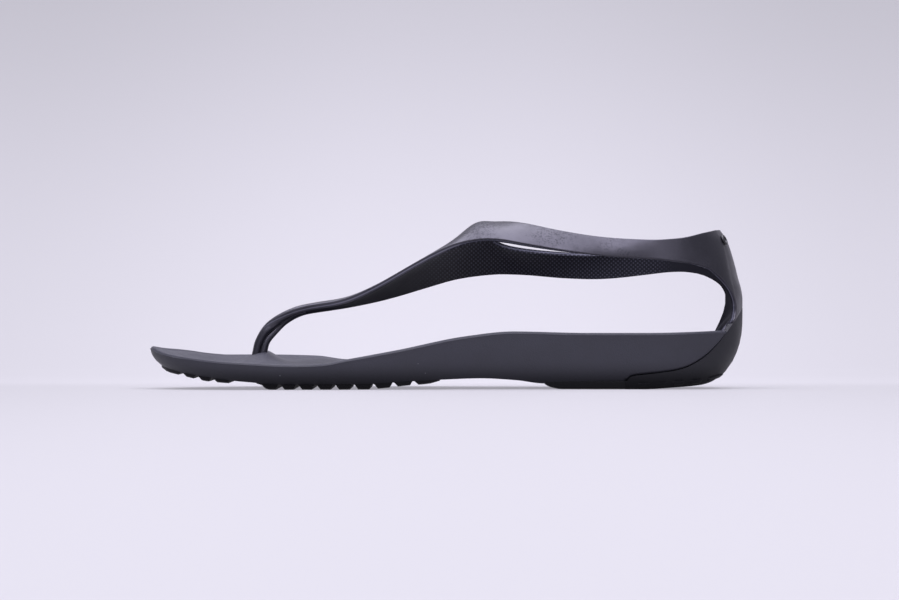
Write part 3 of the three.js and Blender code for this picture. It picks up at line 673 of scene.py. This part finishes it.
def add_tab(sheet, neck_angles):
    """The collar's tab: flush with the heel cup above their seam, tucked behind the cup below it."""
    columns, offsets = [], []
    for start in neck_angles:
        side = -1 if start < 0 else 1
        share = abs(start) / NECK_ANGLE
        edge_x_at = tab_medial_x if side < 0 else tab_lateral_x

        def degrees_at(z):
            return side * share * collar_angle(float(edge_x_at(z)), z, side)

        top = collar_section(start)[0]
        seam_z = TAB_SEAM_START
        for _ in range(4):
            here = collar_point(degrees_at(seam_z), seam_z)
            seam_z = float(cup_edge(here[0] + STRAP_HALF * math.cos(math.radians(start))))
        flush = np.concatenate([np.linspace(top[2], FINE_BELOW, 18)[1:],
                                np.linspace(FINE_BELOW, seam_z + 0.4, 5)[1:]])
        hidden = np.concatenate([[seam_z + 0.3], np.linspace(seam_z - 0.5, TAB_FOOT_Z, 12)])
        column, spread = [top], [np.full(3, np.nan)]
        for z in np.concatenate([flush, hidden]):
            degrees = degrees_at(z)
            middle, out = collar_point(degrees, z), collar_out(degrees, z)
            sunk = CUP_THICKNESS + SEAM
            outer = STRAP_HALF if z > seam_z + 0.35 else STRAP_HALF - sunk
            inner = STRAP_HALF + sunk * float(smoothstep(-z, -seam_z - 3, -seam_z + 5))
            column.append(middle + out * (outer - inner) / 2)
            spread.append(out * (outer + inner) / 2)
        columns.append(column)
        offsets.append(spread)
    rows, spreads = np.array(columns), np.array(offsets)
    sheet.add_grid(rows[:, ::-1], np.full(rows.shape[:2], STRAP_HALF), spreads[:, ::-1])


def distances(points, samples):
    """Each point's distance from the nearest of the samples."""
    tree = kdtree.KDTree(len(samples))
    for i, p in enumerate(samples):
        tree.insert(Vector(p), i)
    tree.balance()
    return np.array([tree.find(Vector(p))[2] for p in points])


def edge_distance(points, edges):
    """Each point's distance from the sheet's free edge."""
    samples = np.concatenate([blend(points[[a for a, _ in edges]], points[[b for _, b in edges]], t)
                              for t in (0, 0.25, 0.5, 0.75)])
    return distances(points, samples)


def border_profile(distance):
    """The strap's thickness near its free edge: a square edge with small round corners."""
    return (1 - np.clip(1 - distance / 0.45, 0, 1) ** 4) ** 0.25


def rib_profile(distance):
    """The toe post's thickness: a round rib along each side with a groove between them."""
    outside = np.sqrt(1 - np.clip(1 - distance / RIB_HALF, 0, 1) ** 2)
    inside = np.sqrt(1 - np.clip(distance / RIB_HALF - 1, 0, 1) ** 2)
    return outside * (0.45 + 0.55 * inside)


def upper():
    sheet = upper_sheet()
    points, halves = np.array(sheet.points), np.array(sheet.halves)
    weights = smoothstep(points[:, 2], 17, 22) * smoothstep(-points[:, 0], -112, -98)
    points = relax(points, sheet.runs, weights, 6)
    near_fork = np.linalg.norm(points - np.array(FORK_SIDE), axis=1)
    points = relax(points, sheet.runs, smoothstep(-near_fork, -24, -10), 14)
    edges = sheet.free_edges()
    distance = edge_distance(points, edges)
    post = smoothstep(halves, STRAP_HALF + 0.1, POST_HALF)
    profile = blend(border_profile(distance), rib_profile(distance), post)
    offsets = np.array(sheet.offsets)
    free_choice = np.isnan(offsets[:, 0])
    normals = sheet_normals(points, sheet.quads)
    offsets[free_choice] = (normals * halves[:, None])[free_choice]
    offsets *= profile[:, None]
    bearing = np.degrees(np.abs(np.arctan2(points[:, 1], points[:, 0] - COLLAR_CENTRE_X)))
    back_panel = smoothstep(-bearing, -25.2, -24.3) * (points[:, 0] > 100)
    back_panel = back_panel * smoothstep(points[:, 2], 38, 43)
    outer = points + offsets * (1 - 0.2 * back_panel)[:, None]
    inner = points - offsets
    count = len(points)
    free = {a for a, _ in edges} | {b for _, b in edges}
    inner_id = np.arange(count) + count
    for a in free:
        inner_id[a] = a
        outer[a] = points[a]
    quads = np.array(sheet.quads)
    faces = quads.tolist() + inner_id[quads[:, ::-1]].tolist()
    piece = make_object("upper_body", np.concatenate([outer, inner]), faces)
    mark_inner_faces(piece)
    mark_painted_edge_line(piece, points[sorted(free)])
    return piece


def store(piece, name, values):
    layer = piece.data.attributes.new(name, "FLOAT", "POINT")
    layer.data.foreach_set("value", values)


def mark_inner_faces(piece):
    """Stores 1 on points of the skin that faces the foot, and 0 on the rest and on the toe post."""
    foot = (Vector((-40, -8, 12)) * MM, Vector((88, 0, 45)) * MM)
    axis = foot[1] - foot[0]
    values = []
    for vertex in piece.data.vertices:
        share = max(0, min(1, (vertex.co - foot[0]).dot(axis) / axis.length_squared))
        inward = foot[0] + axis * share - vertex.co
        inner = vertex.normal.dot(inward.normalized()) > 0.05 and vertex.co.x > POST_REAR_X * MM
        values.append(1.0 if inner else 0.0)
    store(piece, "foot_side", values)


def mark_painted_edge_line(piece, line):
    """Stores 1 on points of the strap's free edge, where the mould's parting line runs and a thin
    highlight line is painted.
    """
    places = [vertex.co / MM for vertex in piece.data.vertices]
    store(piece, "painted_edge_line", np.where(distances(places, line) < 0.01, 1.0, 0.0))


# ---------------------------------------------------------------- tread pads
toe_pad_bottom = along([(-121, 9.2), (-117.7, 7.2), (-113.3, 6.2), (-106.9, 4.7), (-100.2, 3.4),
                        (-92, 2.7)])
ball_pad_bottom = along([(-80, 2.6), (-77.6, 1.9), (-75.4, 0.1), (-74, 0), (-35, 0), (-27, 0.5),
                         (-17, 1.6), (-8, 2.3), (-3, 3.6)])
TOE_PAD, BALL_PAD, HEEL_PAD = (-120.9, -91.6), (-79.9, -3), (41.4, 75.2)  # where each starts and ends
TOE_GROOVES = np.linspace(-111.3, -98.2, 3)
BALL_GROOVES = [-69.8 + 7.4 * k + 0.1 * k * (k - 1) for k in range(8)]  # wider apart to the rear
GROOVE_MOUTH = 3.5    # width of a groove at the tread, wider than at its root
LUG_LEAN = 0.35       # how far each groove's root sits towards the toe
heel_pad_bottom = along([(41, 2.1), (43.4, 0.9), (48.2, 0), (76, 0)])


def side_lines(inset):
    """Medial and lateral edge of the inset plan outline as functions of x."""
    loop = outline.inset(inset)
    toe_tip = outline.STATIONS + outline.CAP // 2
    heel_tip = outline.count - outline.CAP // 2
    medial = np.concatenate([loop[heel_tip:], loop[:toe_tip]])
    lateral = loop[toe_tip:heel_tip]
    medial, lateral = medial[np.argsort(medial[:, 0])], lateral[np.argsort(lateral[:, 0])]
    return (lambda x: np.interp(x, medial[:, 0], medial[:, 1]),
            lambda x: np.interp(x, lateral[:, 0], lateral[:, 1]))


def lug_profile(start, end, grooves, bottom, root, mouth=GROOVE_MOUTH):
    """(x, z) corners of the pad's underside, groove by groove."""
    points = [(start, bottom(start))]
    for x in grooves:
        for dx in (-mouth / 2, -root / 2 - LUG_LEAN, root / 2 - LUG_LEAN, mouth / 2):
            z = bottom(x + dx) if abs(dx) == mouth / 2 else underside(x) - 0.15
            points.append((x + dx, float(z)))
    points.append((end, bottom(end)))
    xs, zs = np.array(points, float).T
    extra = np.arange(start + 0.7, end, 1.6)
    extra = extra[[np.abs(xs - x).min() > 0.45 for x in extra]]
    apart = np.array([min((abs(x - g) for g in grooves), default=mouth) >= mouth / 2 for x in extra])
    zs = np.concatenate([zs, np.where(apart, bottom(extra), np.interp(extra, xs, zs))])
    xs = np.concatenate([xs, extra])
    order = np.argsort(xs)
    return xs[order], zs[order]


def tread_pad(name, profile, roof_rise=1.0):
    """A pad whose ends follow the sole's outline; grooves run straight across it."""
    xs, zs = profile
    medial, lateral = side_lines(SIDE_TUCK + 0.1)
    near, far = medial(xs), lateral(xs)
    roof = underside(xs) + roof_rise
    across = (0, 0.015, 0.05, 0.2, 0.4, 0.6, 0.8, 0.95, 0.985, 1)
    rows = []
    for share in across:
        rise = 0.5 * (1 - min(1, min(share, 1 - share) / 0.05)) ** 2
        rows.append(np.column_stack([xs, blend(near, far, share), np.minimum(zs + rise, roof - 0.2)]))
    for share in across[::-1]:
        rows.append(np.column_stack([xs, blend(near, far, share), roof]))
    loops = np.array(rows).transpose(1, 0, 2)
    count = loops.shape[1]
    faces = ring_faces(len(xs), count)
    faces.append(list(range(count))[::-1])
    last = (len(xs) - 1) * count
    faces.append([last + k for k in range(count)])
    piece = make_object(name, loops.reshape(-1, 3), faces)
    round_edges(piece, 0.3)
    return piece


def tread_pads():
    toe = lug_profile(*TOE_PAD, TOE_GROOVES, toe_pad_bottom, 0.6)
    ball = lug_profile(*BALL_PAD, BALL_GROOVES, ball_pad_bottom, 0.9)
    heel = lug_profile(*HEEL_PAD, [], heel_pad_bottom, 1)
    return (tread_pad("toe_tread_pad", toe), tread_pad("ball_tread_pad", ball),
            tread_pad("heel_tread_pad", heel))


# ---------------------------------------------------------------- plug and stud
def turned(name, profile, segments=64):
    """A closed turned piece about +Z from (radius, height) points, in millimetres."""
    angles = np.linspace(0, 2 * math.pi, segments, endpoint=False)
    points, faces, rings = [], [], []
    for radius, height in profile:
        if radius == 0:
            rings.append([len(points)] * segments)
            points.append((0, 0, height))
        else:
            rings.append(list(range(len(points), len(points) + segments)))
            points += [(radius * math.cos(a), radius * math.sin(a), height) for a in angles]
    for lower, upper_ring in zip(rings, rings[1:]):
        for k in range(segments):
            n = (k + 1) % segments
            faces.append([lower[k], lower[n], upper_ring[n], upper_ring[k]])
    return make_object(name, points, faces)


def place(piece, position, direction):
    turn = Vector((0, 0, 1)).rotation_difference(Vector(direction))
    piece.data.transform(turn.to_matrix().to_4x4())
    piece.data.transform(Matrix.Translation(Vector(position) * MM))
    return piece


def toe_post_plug():
    plug = turned("toe_post_plug_disc", [(0, 3.05), (5.2, 3.05), (5.6, 3.35), (6.1, 3.35), (6.6, 3.05),
                                         (6.9, 3.25), (6.9, 5.3), (0, 5.3)])
    return place(plug, (POST_FOOT[0], POST_FOOT[1], 0), (0, 0, 1))


STUD_ANGLE = -21
STUD_Z = 62.6


def stud_pose():
    here = collar_point(STUD_ANGLE, STUD_Z)
    sideways = collar_point(STUD_ANGLE + 1, STUD_Z) - here
    upwards = collar_point(STUD_ANGLE, STUD_Z + 1) - here
    return here, unit(np.cross(sideways, upwards))


def collar_stud():
    here, out = stud_pose()
    face = STRAP_HALF
    stud = turned("collar_stud_head", [(0, -face - 1.4), (1, -face - 1.4), (1, face), (2.1, face - 0.1),
                                       (2.3, face + 0.15), (2.3, face + 0.5), (2.05, face + 0.75),
                                       (1.6, face + 0.75), (1.35, face + 0.55), (1.2, face + 0.2),
                                       (0.5, face + 0.28), (0, face + 0.3)])
    return place(stud, here, out)


def stud_washer():
    here, out = stud_pose()
    low = -STRAP_HALF - 1.1
    washer = turned("collar_stud_washer_ring", [(1.2, low), (2.3, low), (2.55, low + 0.2),
                                                (2.6, low + 0.5), (2.6, low + 0.9),
                                                (1.2, low + 0.9), (1.2, low)])
    return place(washer, here, out)


# ---------------------------------------------------------------- materials
def new_material(name, base, roughness, specular=0.5):
    material = bpy.data.materials.new(name)
    material.use_nodes = True
    shader = material.node_tree.nodes["Principled BSDF"]
    shader.inputs["Base Color"].default_value = (*base, 1)
    shader.inputs["Roughness"].default_value = roughness
    shader.inputs["Specular IOR Level"].default_value = specular
    return material, shader


def feed(socket, value):
    """Gives a socket a number or a plain colour, or links another node's output to it."""
    if isinstance(value, tuple):
        socket.default_value = (*value, 1)
    elif isinstance(value, (int, float)):
        socket.default_value = value
    else:
        socket.id_data.links.new(value, socket)


def node(material, kind, **values):
    """A new node; each value goes to the input of that name, or else to the setting."""
    made = material.node_tree.nodes.new(kind)
    for key, value in values.items():
        if key in made.inputs:
            feed(made.inputs[key], value)
        else:
            setattr(made, key, value)
    return made


def mapped(material, value, low, high, out_low, out_high):
    """Maps value from low..high to out_low..out_high, smoothly at both ends."""
    made = node(material, "ShaderNodeMapRange", interpolation_type="SMOOTHSTEP")
    for socket, given in zip(made.inputs, (value, low, high, out_low, out_high)):
        feed(socket, given)
    return made.outputs[0]


def maths(material, operation, first, second):
    made = node(material, "ShaderNodeMath", operation=operation)
    feed(made.inputs[0], first)
    feed(made.inputs[1], second)
    return made.outputs[0]


def mixed(material, factor, low, high):
    """A colour between low and high, each a plain colour or another node's output."""
    made = node(material, "ShaderNodeMix", data_type="RGBA")
    for number, value in ((0, factor), (6, low), (7, high)):
        feed(made.inputs[number], value)
    return made.outputs[2]


def object_place(material):
    return node(material, "ShaderNodeTexCoord").outputs["Object"]


def noise(material, scale, detail=3.0, roughness=0.55):
    made = node(material, "ShaderNodeTexNoise", Scale=scale, Detail=detail, Roughness=roughness,
                Vector=object_place(material))
    return made.outputs["Fac"]


def specks(material, scale, size, share):
    """Small scattered specks: 1 inside a speck and 0 elsewhere."""
    cells = node(material, "ShaderNodeTexVoronoi", Scale=scale, Vector=object_place(material))
    chance = node(material, "ShaderNodeSeparateColor", Color=cells.outputs["Color"])
    near = maths(material, "LESS_THAN", cells.outputs["Distance"], size)
    chosen = maths(material, "GREATER_THAN", chance.outputs[0], 1 - share)
    return maths(material, "MULTIPLY", near, chosen)


def add_bump(material, shader, height, depth):
    """Bumps the surface by depth millimetres, on top of any bump that is there already."""
    bump = node(material, "ShaderNodeBump", Strength=1.0, Distance=depth * MM, Height=height)
    for earlier in shader.inputs["Normal"].links:
        feed(bump.inputs["Normal"], earlier.from_socket)
    feed(shader.inputs["Normal"], bump.outputs["Normal"])


def xyz(material):
    """Separate x, y and z of a place on the piece, in metres."""
    return node(material, "ShaderNodeSeparateXYZ", Vector=object_place(material)).outputs


def dress(shader, colour, gloss, rough):
    """Gives the shader its colour, its gloss (specular level) and its roughness."""
    feed(shader.inputs["Base Color"], colour)
    feed(shader.inputs["Specular IOR Level"], gloss)
    feed(shader.inputs["Roughness"], rough)


def moulded(name, base, roughness, specular, grain_scale, grain_depth, dust=0.0):
    """Moulded foam or rubber: fine grain, cloudy sheen, painted shade low down near the floor, and
    faint dust.
    """
    material, shader = new_material(name, base, roughness, specular)
    cloud = noise(material, 90.0, 4.0, 0.6)
    colour = mixed(material, cloud, tuple(c * 0.82 for c in base), tuple(c * 1.18 for c in base))
    # Painted shade: below 13 mm the colour darkens to about a fifth of the base and the gloss drops,
    # standing in for the shade near the floor.
    clear_of_painted_shade = mapped(material, xyz(material)["Z"], 0.0, 0.013, 0.0, 1.0)
    colour = mixed(material, clear_of_painted_shade, tuple(c * 0.22 for c in base), colour)
    if dust:
        colour = mixed(material, specks(material, 330.0, 0.07, dust), colour, (0.16, 0.16, 0.18))
    gloss = mapped(material, clear_of_painted_shade, 0.0, 1.0, specular * 0.35, specular)
    rough = mapped(material, cloud, 0.2, 0.8, roughness - 0.06, roughness + 0.1)
    dress(shader, colour, gloss, rough)
    add_bump(material, shader, noise(material, grain_scale), grain_depth)
    return material


def satin_strap(name, base):
    """The strap: satin and smudged outside, matte with rows of small raised dots on the foot's side."""
    material, shader = new_material(name, base, 0.4, 0.8)
    shader.inputs["Specular Tint"].default_value = (0.88, 0.85, 1, 1)
    mark = node(material, "ShaderNodeAttribute", attribute_name="foot_side")
    foot_side = mapped(material, mark.outputs["Fac"], 0.35, 0.65, 0.0, 1.0)

    x, _, z = xyz(material)
    side_view = node(material, "ShaderNodeCombineXYZ", X=x, Y=z)
    lattice = node(material, "ShaderNodeMapping", Vector=side_view.outputs[0])
    diagonal = math.sqrt(2) / MM
    lattice.inputs["Scale"].default_value = (diagonal / DOT_PITCH[0], diagonal / DOT_PITCH[1], 1)
    lattice.inputs["Rotation"].default_value = (0, 0, -math.pi / 4)
    cells = node(material, "ShaderNodeTexVoronoi", Scale=1.0, Randomness=0.0,
                 voronoi_dimensions="2D", Vector=lattice.outputs[0])
    dots = mapped(material, cells.outputs["Distance"], 0.16, 0.34, 1.0, 0.0)
    starts = mapped(material, x, -0.02, 0.012, 0.0, 1.0)
    stops = mapped(material, x, 0.088, 0.1, 1.0, 0.0)
    dots = maths(material, "MULTIPLY", dots, maths(material, "MULTIPLY", starts, stops))
    dots = maths(material, "MULTIPLY", dots, foot_side)

    cloud = noise(material, 60.0, 5.0, 0.65)
    smudges = mapped(material, noise(material, 1250.0, 3.0), 0.44, 0.66, 0.0, 1.0)
    patches = mapped(material, noise(material, 45.0, 3.0), 0.44, 0.58, 0.0, 1.0)
    smudges = maths(material, "MULTIPLY", smudges, patches)
    # Painted light: the foot's side is painted twice as light as the outside, standing in for light
    # that the inner skin doesn't get.
    plain = mixed(material, foot_side, base, tuple(c * 2 for c in base))
    # Painted highlight: the dots are painted eight times as light as the base, standing in for the
    # light their raised tops catch.
    colour = mixed(material, dots, plain, tuple(c * 8 for c in base))
    # Painted highlight: a thin line along the strap's free edge, where the mould's parting line runs,
    # is painted eleven times as light as the base.
    parting = node(material, "ShaderNodeAttribute", attribute_name="painted_edge_line")
    painted_edge_highlight = mapped(material, parting.outputs["Fac"], 0.6, 0.85, 0.0, 1.0)
    colour = mixed(material, painted_edge_highlight, colour, tuple(c * 11 for c in base))
    colour = mixed(material, specks(material, 300.0, 0.06, 0.05), colour, (0.14, 0.14, 0.16))
    outer_roughness = maths(material, "ADD", mapped(material, cloud, 0.25, 0.75, 0.3, 0.5),
                            maths(material, "MULTIPLY", smudges, 0.2))
    gloss = maths(material, "MULTIPLY", mapped(material, cloud, 0.3, 0.7, 1.0, 0.78),
                  mapped(material, smudges, 0.0, 1.0, 1.0, 0.74))
    gloss = maths(material, "MULTIPLY", gloss, mapped(material, foot_side, 0.0, 1.0, 0.95, 0.16))
    rough = node(material, "ShaderNodeMix", data_type="FLOAT")
    for number, value in ((0, foot_side), (2, outer_roughness), (3, 0.7)):
        feed(rough.inputs[number], value)
    dress(shader, colour, gloss, rough.outputs[0])
    add_bump(material, shader, noise(material, 1800.0), 0.03)
    add_bump(material, shader, dots, 0.16)
    return material


# ---------------------------------------------------------------- stage, lights and camera
def stage():
    """A pale floor that sweeps up into the backdrop."""
    flat_end, radius = 0.5, 1.3
    profile = [(-4, 0), (-1, 0), (0, 0), (flat_end, 0)]
    for degrees in range(3, 91, 3):
        turn = math.radians(degrees)
        profile.append((flat_end + radius * math.sin(turn), radius * (1 - math.cos(turn))))
    profile.append((flat_end + radius, 3))
    points = [(x, y, z) for y, z in profile for x in (-3, 3)]
    faces = [(2 * k, 2 * k + 1, 2 * k + 3, 2 * k + 2) for k in range(len(profile) - 1)]
    sweep = make_object("studio_sweep", np.array(points) / MM, faces)
    sweep.data.materials.append(sweep_paper())


def sweep_paper():
    """Matt pale grey paper with painted light and shade: brightest just behind the shoe, darker towards
    the top and the sides, and glowing evenly to lift the shoe's shadows.
    """
    front, behind, middle, high, edge = 0.198, 0.241, 0.268, 0.15, 0.8
    paper, shader = new_material("sweep_paper", (front, front, front), 0.6, 0.08)
    x, y, z = xyz(paper)
    # Painted light and shade: these tone ramps stand in for the light falling off towards the top and
    # the sides.
    tone = maths(paper, "ADD", mapped(paper, y, 0.02, 0.16, front, behind),
                 mapped(paper, y, 0.3, 0.75, 0.0, middle - behind))
    tone = maths(paper, "ADD", tone, mapped(paper, z, 0.03, 0.33, 0.0, high - middle))
    aside = mapped(paper, maths(paper, "ABSOLUTE", x, 0), 0.03, 0.3, 1.0, edge)
    tone = maths(paper, "MULTIPLY", tone, aside)
    grey = node(paper, "ShaderNodeCombineColor")
    for channel, share in zip(grey.inputs, (1, 0.98, 1)):
        feed(channel, maths(paper, "MULTIPLY", tone, share))
    feed(shader.inputs["Base Color"], grey.outputs[0])
    # Painted light: the paper glows evenly, so the shadows under and around the shoe stay light.
    shader.inputs["Emission Color"].default_value = (0.80, 0.78, 0.88, 1)
    shader.inputs["Emission Strength"].default_value = 0.42
    return paper


def area_light(name, location, target, size, energy, colour=(1, 1, 1)):
    data = bpy.data.lights.new(name, "AREA")
    data.shape = "RECTANGLE"
    data.size, data.size_y = size
    data.energy = energy
    data.color = colour
    lamp = add_to_scene(name, data)
    lamp.location = location
    lamp.rotation_euler = (Vector(target) - Vector(location)).to_track_quat("-Z", "Y").to_euler()


def lights():
    world = bpy.data.worlds.new("studio")
    world.use_nodes = True
    background = world.node_tree.nodes["Background"]
    background.inputs["Color"].default_value = (0.80, 0.80, 0.90, 1)
    background.inputs["Strength"].default_value = 0.22
    bpy.context.scene.world = world
    bpy.context.scene.view_settings.view_transform = "Standard"
    area_light("top_softbox", (0, -0.8, 1.5), (0, -0.8, 0), (2.4, 4.0), 112, (0.95, 0.93, 1.07))
    area_light("front_fill", (0, -2.6, 1.0), (0, 0, 0.03), (1.6, 0.8), 2.5, (0.95, 0.95, 1.07))


def camera():
    """Level and far away, a little above the floor, looking at the shoe's medial side."""
    data = bpy.data.cameras.new("camera")
    data.sensor_width = 36
    data.lens = 188.4
    data.clip_end = 50
    cam = add_to_scene("camera", data)
    cam.location = (0.001, -2.008, 0.0376)
    cam.rotation_euler = (math.radians(90), 0, 0)
    bpy.context.scene.camera = cam


# ---------------------------------------------------------------- assembly
def finish_piece(piece, cad_node, material):
    piece.data.materials.clear()
    piece.data.materials.append(material)
    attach(piece, "root")
    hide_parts(cad_node)


foam = moulded("foam_skin", (0.033, 0.033, 0.045), 0.52, 0.42, 1500, 0.09, dust=0.05)
satin = satin_strap("satin_elastomer", (0.009, 0.009, 0.012))
cup_skin = moulded("cup_skin", (0.016, 0.016, 0.021), 0.55, 0.32, 2600, 0.06, dust=0.04)
rubber = moulded("tread_rubber", (0.016, 0.016, 0.020), 0.6, 0.3, 3000, 0.06)
stud_skin = moulded("stud_plastic", (0.014, 0.014, 0.017), 0.3, 0.6, 1200, 0.02)

camera()
finish_piece(footbed(), "footbed", foam)
finish_piece(heel_cup(), "heel_cup", cup_skin)
finish_piece(upper(), "upper", satin)
for pad, cad_node in zip(tread_pads(), ("toe_tread", "ball_tread", "heel_tread")):
    finish_piece(pad, cad_node, rubber)
finish_piece(toe_post_plug(), "toe_post_plug", cup_skin)
finish_piece(collar_stud(), "collar_stud", stud_skin)
finish_piece(stud_washer(), "collar_stud_washer", stud_skin)
stage()
lights()
